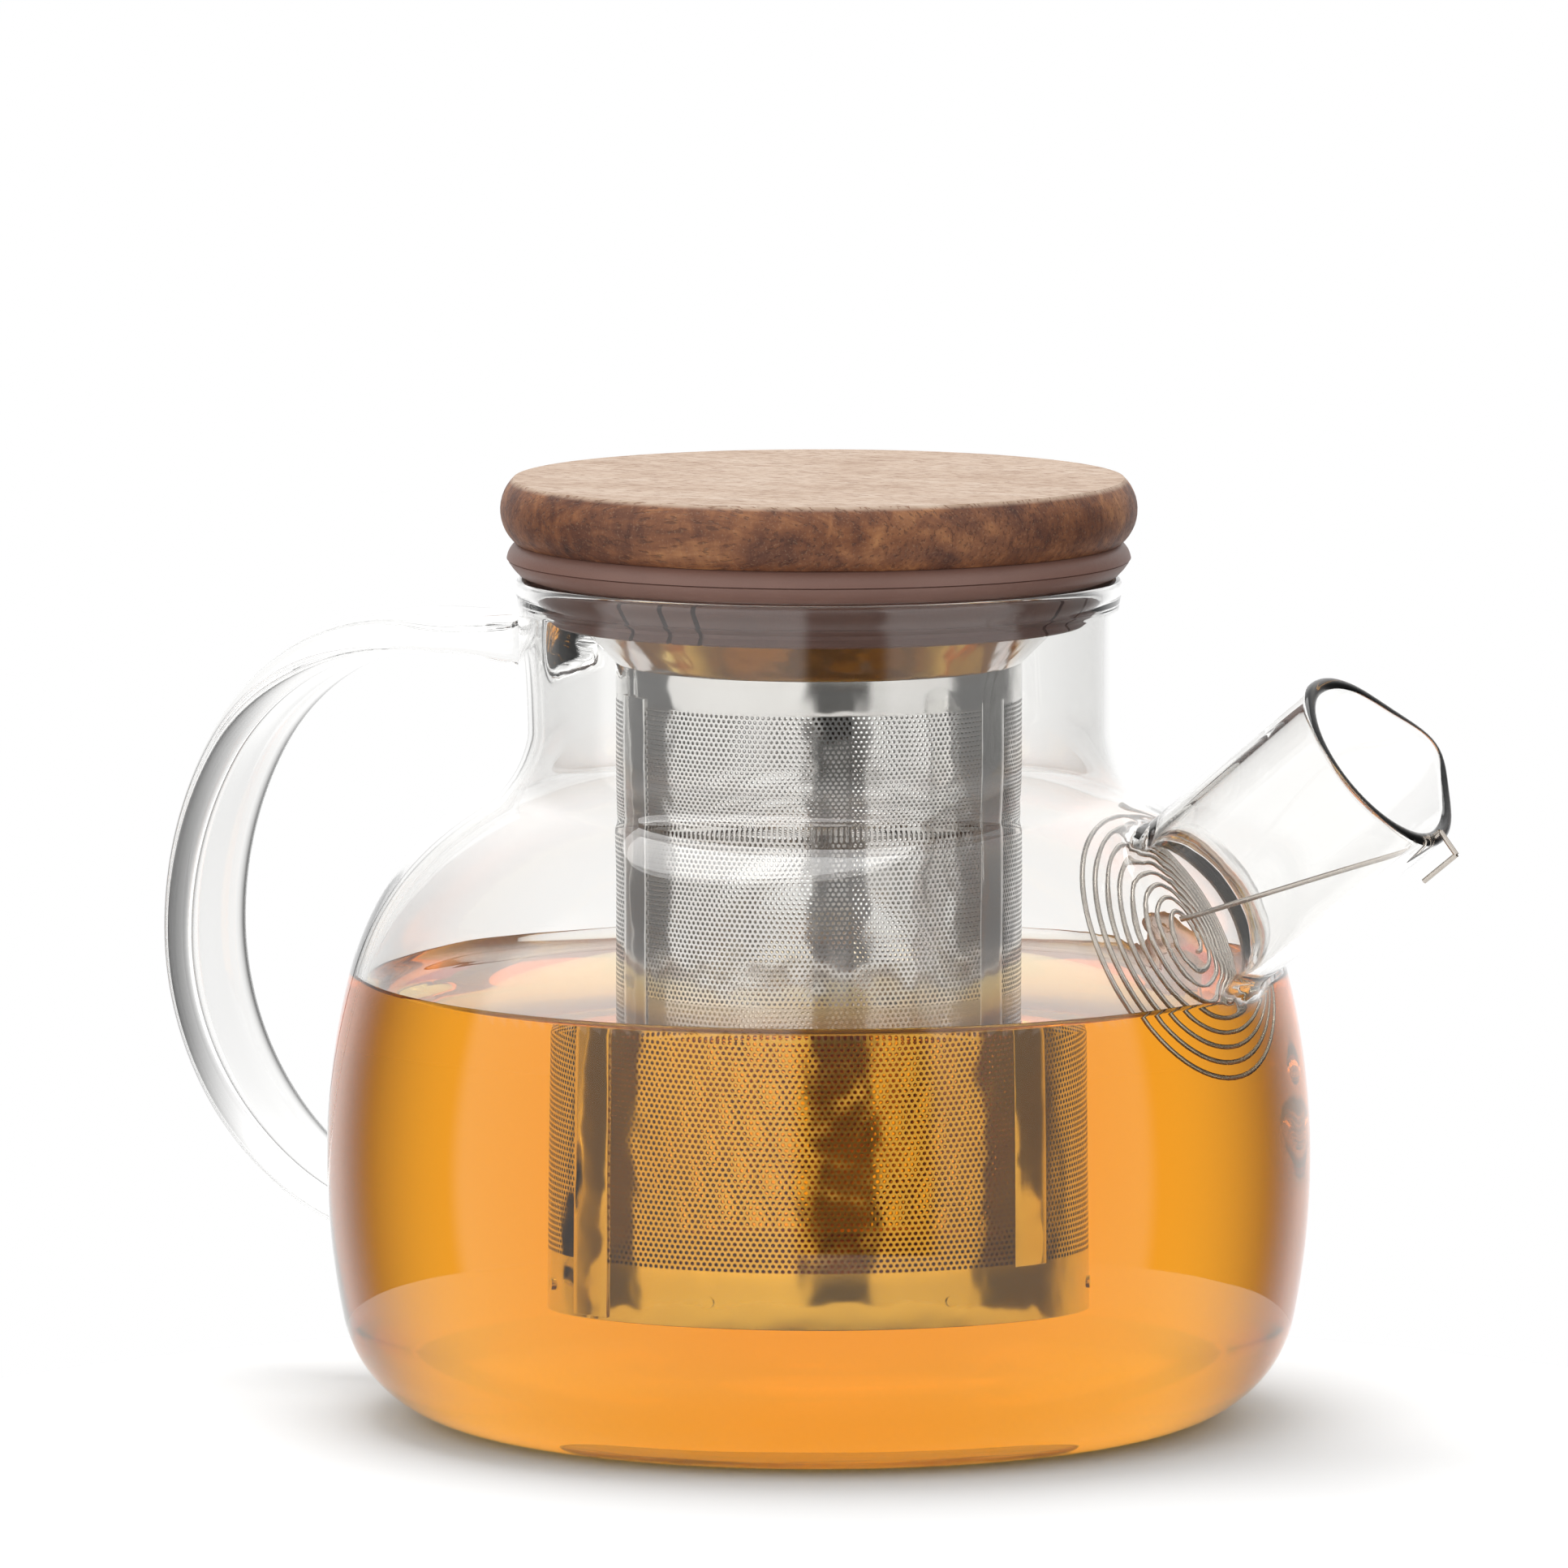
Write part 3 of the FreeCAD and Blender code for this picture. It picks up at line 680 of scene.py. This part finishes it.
def makeTea():
    inset = pot["wall"] - tea["overlap"]
    level = tea["level"]
    side = withBoss([point for point in potProfile(inset) if point[1] < level + tea["meniscus"]], inset)
    edge = side[-1][0] - 0.25
    top = []
    for across in straight((edge, 0), (edge - 9, 0), 0.5):
        climb = tea["meniscus"] * math.exp(-(edge - across[0]) / tea["meniscusReach"])
        top.append((across[0], level + climb - 0.05))
    points = joined(side, top, straight((edge - 10, level), (0, level), 3.0))
    piece = turned("tea", points, ((360, 200),))
    piece.data.materials.append(amberTea)
    shadeSmooth(piece, 50)
    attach(piece, "pot")
    return piece


def makeAmberTea():
    paint = newPaint("amberTea")
    swirl = paint.noise(paint.coordinates((0.02, 0.02, 0.02)), 1.0, 1.0)
    inputs = {
        "Base Color": (1, 1, 1, 1),
        "Roughness": 0.0,
        "IOR": 1.33,
        "Transmission Weight": 1.0,
        "Specular Tint": (0, 0, 0, 1),
        "Normal": paint.bump(swirl, 0.1 * mm),
    }
    look = paint.principled(inputs)
    colour = (*tea["clearing"], 1)
    steep = paint.node("ShaderNodeVolumeAbsorption", None, {"Color": colour, "Density": tea["strength"]})
    return paint.finish(look, steep)


# the infuser

infuser = {
    "radius": 30.3, "sheet": 0.45, "pitch": 0.82, "rowPitch": 0.71, "hole": 0.29,
    "holesFrom": 27.6, "holesTo": 108.8, "bottom": 20.0, "top": 113.7,
    "strips": (-126.0, -4.0, 114.0),   # degrees round from the spout
    "stripHalf": 3.1, "lapWidth": 7.4,
}


def holeRow():
    # one cell of the punched sheet: a six-sided hole in a small oblong, lying in the XZ plane
    pitch, rise = infuser["pitch"], infuser["rowPitch"]
    deselectAll()
    bpy.ops.mesh.primitive_circle_add(vertices=6, radius=infuser["hole"] * mm, rotation=(math.pi / 2, 0, 0))
    cell = bpy.context.object
    bpy.ops.object.transform_apply(location=False, rotation=True, scale=False)
    bpy.ops.object.mode_set(mode="EDIT")
    bpy.ops.mesh.select_all(action="SELECT")
    bpy.ops.mesh.extrude_region_move(TRANSFORM_OT_translate={"value": (0, 0, 0)})
    mesh = bmesh.from_edit_mesh(cell.data)
    for vertex in mesh.verts:
        if vertex.select:
            across = 0 if abs(vertex.co.x) < 0.05 * mm else math.copysign(pitch / 2 * mm, vertex.co.x)
            vertex.co = (across, 0, math.copysign(rise / 2 * mm, vertex.co.z))
    bmesh.update_edit_mesh(cell.data)
    endEdit()
    return cell


def repeat(piece, count, offset):
    array = piece.modifiers.new("array", "ARRAY")
    array.count = count
    array.use_relative_offset = False
    array.use_constant_offset = True
    array.constant_offset_displace = offset
    array.use_merge_vertices = True
    array.merge_threshold = 0.02 * mm


def rolled(piece, start, radius):
    # bends a flat sheet in the XZ plane round the upright axis, from an angle in degrees
    places = readPlaces(piece)
    angle = math.radians(start) + places[:, 0] / (radius * mm)
    reach = radius * mm + places[:, 1]
    turnedPlaces = np.stack((reach * np.cos(angle), reach * np.sin(angle), places[:, 2]), axis=1)
    writePlaces(piece, turnedPlaces)


def punchedPanel(name, start, columns, low, rows):
    pitch, rise = infuser["pitch"], infuser["rowPitch"]
    piece = holeRow()
    piece.name = piece.data.name = name
    repeat(piece, columns, (pitch * mm, 0, 0))
    applyAll(piece)
    editAll(piece)
    bpy.ops.mesh.duplicate_move(TRANSFORM_OT_translate={"value": (pitch / 2 * mm, 0, rise * mm)})
    closeUp(0.02 * mm)
    endEdit()
    repeat(piece, rows // 2, (0, 0, 2 * rise * mm))
    thicken = piece.modifiers.new("sheet", "SOLIDIFY")
    thicken.thickness = infuser["sheet"] * mm
    thicken.offset = 0
    applyAll(piece)
    places = readPlaces(piece)
    places[:, 0] += pitch / 2 * mm
    places[:, 2] += (low + rise / 2) * mm
    writePlaces(piece, places)
    rolled(piece, start, infuser["radius"] - infuser["sheet"] / 2)
    editAll(piece)
    bpy.ops.mesh.normals_make_consistent(inside=False)
    endEdit()
    return piece


def plainSheet(name, start, end, low, high, radius, thick):
    # a curved plain piece of the same sheet, with rounded edges
    deselectAll()
    bpy.ops.mesh.primitive_plane_add(size=1)
    piece = bpy.context.object
    piece.name = piece.data.name = name
    length = math.radians(end - start) * radius
    flat = []
    for place in readPlaces(piece):
        flat.append([(place[0] + 0.5) * length * mm, 0, (low + (place[1] + 0.5) * (high - low)) * mm])
    writePlaces(piece, np.array(flat))
    editAll(piece)
    cuts = max(2, round((end - start) / 3))
    mesh = bmesh.from_edit_mesh(piece.data)
    for edge in mesh.edges:
        level = abs(edge.verts[0].co.z - edge.verts[1].co.z) < 1e-6
        edge.select_set(level)
    bpy.ops.mesh.subdivide(number_cuts=cuts)
    endEdit()
    thicken = piece.modifiers.new("sheet", "SOLIDIFY")
    thicken.thickness = thick * mm
    thicken.offset = 0
    soften = piece.modifiers.new("edges", "BEVEL")
    soften.width = 0.1 * mm
    soften.segments = 2
    soften.limit_method = "ANGLE"
    applyAll(piece)
    rolled(piece, start, radius)
    editAll(piece)
    closeUp()
    endEdit()
    return piece


def makeInfuser():
    radius, sheet = infuser["radius"], infuser["sheet"]
    middle = radius - sheet / 2
    half = math.degrees(infuser["stripHalf"] / radius)
    strips = infuser["strips"]
    rows = 2 * round((infuser["holesTo"] - infuser["holesFrom"]) / infuser["rowPitch"] / 4)
    pieces = []
    for number, start in enumerate(strips):
        end = strips[(number + 1) % 3] + (360 if number == 2 else 0)
        span = math.radians(end - start - 2 * half) * middle
        columns = round(span / infuser["pitch"]) + 1
        first = start + half - math.degrees(0.6 / middle)
        for part in range(2):
            low = infuser["holesFrom"] + part * rows * infuser["rowPitch"]
            pieces.append(punchedPanel(f"infuserPanel{number + 1}{'ab'[part]}", first, columns, low, rows))
        pieces.append(
            plainSheet(
                f"infuserStrip{number + 1}", start - half, start + half, infuser["holesFrom"] - 0.3,
                infuser["holesTo"] + 0.6, middle, sheet + 0.06,
            )
        )
    for name, low, high in (
        ("infuserFootBand", infuser["bottom"], infuser["holesFrom"] + 0.15),
        ("infuserTopBand", infuser["holesTo"] - 0.3, infuser["top"]),
    ):
        pieces.append(plainSheet(name, -126, 234 - 0.05, low, high, middle, sheet + 0.04))
    # the sheet's lapped end, a second layer over the first
    lap = math.degrees(infuser["lapWidth"] / radius)
    pieces.append(
        plainSheet(
            "infuserLap", strips[0] - lap / 2, strips[0] + lap / 2, infuser["bottom"] + 0.4,
            infuser["top"] - 4, radius + 0.16, 0.3,
        )
    )
    for piece in pieces:
        piece.data.materials.clear()
        piece.data.materials.append(polishedSteel)
        shadeSmooth(piece, 40)
        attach(piece, "infuser")
    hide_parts("infuser_wall")


def makePolishedSteel():
    paint = newPaint("polishedSteel")
    broad = paint.noise(paint.coordinates((0.09, 0.09, 0.075)), 1.0, 2.0)
    brushed = paint.noise(paint.coordinates((0.6, 0.6, 14.0)), 1.0, 2.0)
    inputs = {
        "Base Color": paint.mix(broad, (0.60, 0.585, 0.565), (0.72, 0.71, 0.69)),
        "Metallic": 1.0,
        "Roughness": 0.07 + brushed * 0.07 + broad * 0.03,
        "Normal": paint.bump(broad, 0.6 * mm),
    }
    return paint.finish(paint.principled(inputs))


# the silicone collar

collar = {
    "bottom": 119.6, "footRadius": 39.9, "waistRadius": 39.3, "sealRadius": 42.1, "flangeBottom": 126.5,
    "flangeFootRadius": 44.3, "flangeRadius": 46.4, "flangeTop": 129.02, "boreRadius": 36.5,
    "ribs": ((40.6, 122.4), (40.75, 122.6), (40.4, 122.8)),
    "swell": ((40.6, 123.2), (41.2, 123.9)),
    "slits": (-6.0, 4.0, 18.0, -105.0, -95.0, -87.5),      # degrees round from the spout
    "slitPlace": (41.2, 121.6), "slitSize": (5.2, 0.8, 8.0),
}


def makeCollar():
    c = collar
    points = joined(
        [(c["boreRadius"], c["bottom"] + 0.5), (c["boreRadius"] + 0.4, c["bottom"])],
        [(c["footRadius"] - 0.3, c["bottom"]), (c["footRadius"], c["bottom"] + 0.3)],
        [(c["waistRadius"], c["bottom"] + 1.2), (c["waistRadius"] + 0.15, c["bottom"] + 2.0)],
        [*c["ribs"], *c["swell"], (c["sealRadius"] - 0.2, 124.6), (c["sealRadius"], 125.1)],
        [(c["sealRadius"], 125.7), (c["sealRadius"] + 0.1, 126.2), (c["sealRadius"] + 0.6, c["flangeBottom"])],
        [(c["flangeFootRadius"], c["flangeBottom"] + 0.05), (c["flangeFootRadius"] + 0.5, 126.8)],
        [(c["flangeRadius"] - 0.75, 127.7), (c["flangeRadius"] - 0.1, 128.6), (c["flangeRadius"], 128.9)],
        [(c["flangeRadius"] - 0.12, c["flangeTop"]), (c["boreRadius"], c["flangeTop"])],
        [(c["boreRadius"], 124.0), (c["boreRadius"], c["bottom"] + 0.5)],
    )
    piece = turned("infuserCollar", points, ((360, 144),))
    across, up = c["slitPlace"]
    for angle in c["slits"]:
        deselectAll()
        bpy.ops.mesh.primitive_cube_add(size=mm, location=(across * mm, 0, up * mm))
        blade = bpy.context.object
        bpy.ops.object.mode_set(mode="EDIT")
        bpy.ops.mesh.select_all(action="SELECT")
        bpy.ops.transform.resize(value=c["slitSize"])
        bpy.ops.mesh.bevel(offset=0.12 * mm, segments=1)
        endEdit()
        blade.data.transform(blade.matrix_world)
        blade.matrix_world = Matrix.Identity(4)
        blade.data.transform(Matrix.Rotation(math.radians(angle), 4, "Z"))
        combine(piece, blade, "DIFFERENCE")
    piece.data.materials.clear()
    piece.data.materials.append(brownSilicone)
    shadeSmooth(piece, 38)
    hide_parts("infuser_collar")
    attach(piece, "infuser")


def makeBrownSilicone():
    paint = newPaint("brownSilicone")
    cloud = paint.noise(paint.coordinates((0.12, 0.12, 0.12)), 1.0, 3.0)
    grain = paint.noise(paint.coordinates((2.2, 2.2, 2.2)), 1.0, 3.0)
    dust = paint.noise(paint.coordinates((1.1, 1.1, 1.1)), 1.0, 6.0, 0.7)
    base = paint.mix(cloud, (0.155, 0.078, 0.060), (0.205, 0.108, 0.083))
    inputs = {
        "Base Color": paint.mix(dust.ramp(0.62, 0.78) * 0.35, base, (0.32, 0.22, 0.19)),
        "Roughness": 0.40 + grain * 0.14,
        "Specular IOR Level": 0.45,
        "Subsurface Weight": 0.06,
        "Subsurface Radius": (0.8 * mm, 0.4 * mm, 0.3 * mm),
        "Normal": paint.bump(grain, 0.03 * mm),
    }
    return paint.finish(paint.principled(inputs))


# the wooden lid


def makeAcaciaWood():
    paint = newPaint("acaciaWood")
    place = paint.node("ShaderNodeTexCoord", output="Object")
    # upward is 0 below 140.2 mm and 1 above 140.95 mm: it paints the lid's top face paler and greyer than its
    # sides, as painted light and sheen from above
    upward = paint.node("ShaderNodeSeparateXYZ", None, {0: place}, "Z").ramp(140.2 * mm, 140.95 * mm)
    slant = math.radians(38)
    broad = paint.noise(paint.coordinates((0.030, 0.10, 0.10), (0, 0, slant)), 1.0, 3.0, 0.55, 0.6)
    figure = paint.noise(paint.coordinates((0.06, 0.45, 0.33), (0, 0.25, slant)), 1.0, 5.0, 0.6, 1.1)
    curl = paint.noise(paint.coordinates((0.34, 0.10, 0.16), (0, 0.5, slant)), 1.0, 3.0, 0.6, 0.8)
    pore = paint.noise(paint.coordinates((0.42, 2.7, 1.6), (0, 0.2, slant)), 1.0, 2.0, 0.55)
    fleck = pore.ramp(0.56, 0.66)
    grit = paint.noise(paint.coordinates((3.0, 3.0, 3.0)), 1.0, 2.0)
    dark = paint.node(
        "ShaderNodeValToRGB",
        {"stops": ((0.32, (0.030, 0.010, 0.006)), (0.43, (0.095, 0.030, 0.013)),
                   (0.53, (0.185, 0.066, 0.025)), (0.63, (0.33, 0.14, 0.052)), (0.74, (0.46, 0.23, 0.10)))},
        {0: figure * 0.3 + broad * 0.45 + curl * 0.27},
    )
    # the top face's colours, paler and greyer than the side wood, hold painted light and sheen
    pale = paint.node(
        "ShaderNodeValToRGB",
        {"stops": ((0.34, (0.33, 0.215, 0.14)), (0.5, (0.44, 0.32, 0.235)), (0.66, (0.53, 0.42, 0.33)))},
        {0: figure * 0.45 + broad * 0.3 + curl * 0.25},
    )
    darkFlecked = paint.mix(fleck * 0.5, dark, (0.045, 0.016, 0.009))
    worn = paint.mix(grit.ramp(0.55, 0.75) * 0.3, darkFlecked, (0.36, 0.22, 0.13))
    paintedLitTop = paint.mix(fleck * 0.8, pale, (0.22, 0.11, 0.06))
    inputs = {
        # painted light: dark wood on the sides, a painted lit top above
        "Base Color": paint.mix(upward, worn, paintedLitTop),
        "Roughness": 0.45 + pore * 0.16 + upward * 0.1,
        "Specular IOR Level": 0.4,
        "Normal": paint.bump(figure * 0.3 - fleck, 0.06 * mm),
    }
    return paint.finish(paint.principled(inputs))


# the wire filter

coil = {
    "apex": (61.6, 75.6), "lean": 28.0, "depth": 5.0, "innerRadius": 2.8, "outerRadius": 22.6,
    "turns": 8.46, "wire": 0.39, "startAngle": 90.0, "pointsPerTurn": 16,
}


def makeCoil():
    lean = math.radians(coil["lean"])
    axis = Vector((math.cos(lean), 0, math.sin(lean)))
    across = Vector((0, 1, 0))
    upward = axis.cross(across) * -1
    apex = Vector((coil["apex"][0], 0, coil["apex"][1]))
    count = round(coil["turns"] * coil["pointsPerTurn"])
    deselectAll()
    bpy.ops.curve.primitive_nurbs_path_add()
    wire = bpy.context.object
    wire.name = "filterCoil"
    wire.data.splines.clear()
    spline = wire.data.splines.new("NURBS")
    spline.points.add(count)
    for i in range(count + 1):
        share = i / count
        angle = math.radians(coil["startAngle"]) - share * coil["turns"] * 2 * math.pi
        radius = coil["innerRadius"] + (coil["outerRadius"] - coil["innerRadius"]) * share ** 0.92
        back = coil["depth"] * share ** 1.25
        place = apex - axis * back + (across * math.cos(angle) + upward * math.sin(angle)) * radius
        spline.points[i].co = (*(place * mm), 1)
    spline.order_u = 4
    spline.use_endpoint_u = True
    wire.data.dimensions = "3D"
    wire.data.resolution_u = 4
    wire.data.bevel_depth = coil["wire"] * mm
    wire.data.bevel_resolution = 3
    wire.data.use_fill_caps = True
    grab(wire)
    bpy.ops.object.convert(target="MESH")
    bpy.ops.object.transform_apply(location=True, rotation=True, scale=True)
    editAll(wire)
    closeUp()
    endEdit()
    wire.data.materials.clear()
    wire.data.materials.append(steelWire)
    shadeSmooth(wire, 60)
    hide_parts("filter_coil")
    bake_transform(wire)


def makeSteelWire():
    paint = newPaint("steelWire")
    drawn = paint.noise(paint.coordinates((0.8, 0.8, 0.8)), 1.0, 3.0)
    inputs = {
        "Base Color": paint.mix(drawn, (0.42, 0.37, 0.32), (0.60, 0.56, 0.51)),
        "Metallic": 1.0,
        "Roughness": 0.18 + drawn * 0.15,
        "Normal": paint.bump(drawn, 0.02 * mm),
    }
    return paint.finish(paint.principled(inputs))


def dress(name, material):
    node = nodes[name]
    if not node.material_slots:
        node.data.materials.append(material)
    for place in node.material_slots:
        place.material = material


# making it

scene = bpy.context.scene
scene.view_settings.view_transform = "Standard"
# enough bounces for light to pass every wall of glass and tea
scene.cycles.max_bounces = 24
scene.cycles.transmission_bounces = 24
scene.cycles.glossy_bounces = 8

deselectAll()
placeCamera()
lightStudio()
print("studio ready")
clearGlass = makeGlassPaint("clearGlass", 1.0)
wetGlass = makeGlassPaint("wetGlass", 0.1)
amberTea = makeAmberTea()
polishedSteel = makePolishedSteel()
steelWire = makeSteelWire()
brownSilicone = makeBrownSilicone()
acaciaWood = makeAcaciaWood()
print("finishes ready")
makeGlass()
print("glass ready")
makeTea()
print("tea ready")
makeInfuser()
print("infuser ready")
makeCollar()
makeCoil()
print("collar and coil ready")
for nodeName, finish in (
    ("infuser_base", polishedSteel), ("infuser_rim", polishedSteel), ("infuser_welds", polishedSteel),
    ("filter_stem", steelWire), ("lid_seal", brownSilicone), ("lid_disc", acaciaWood),
):
    dress(nodeName, finish)

deselectAll()
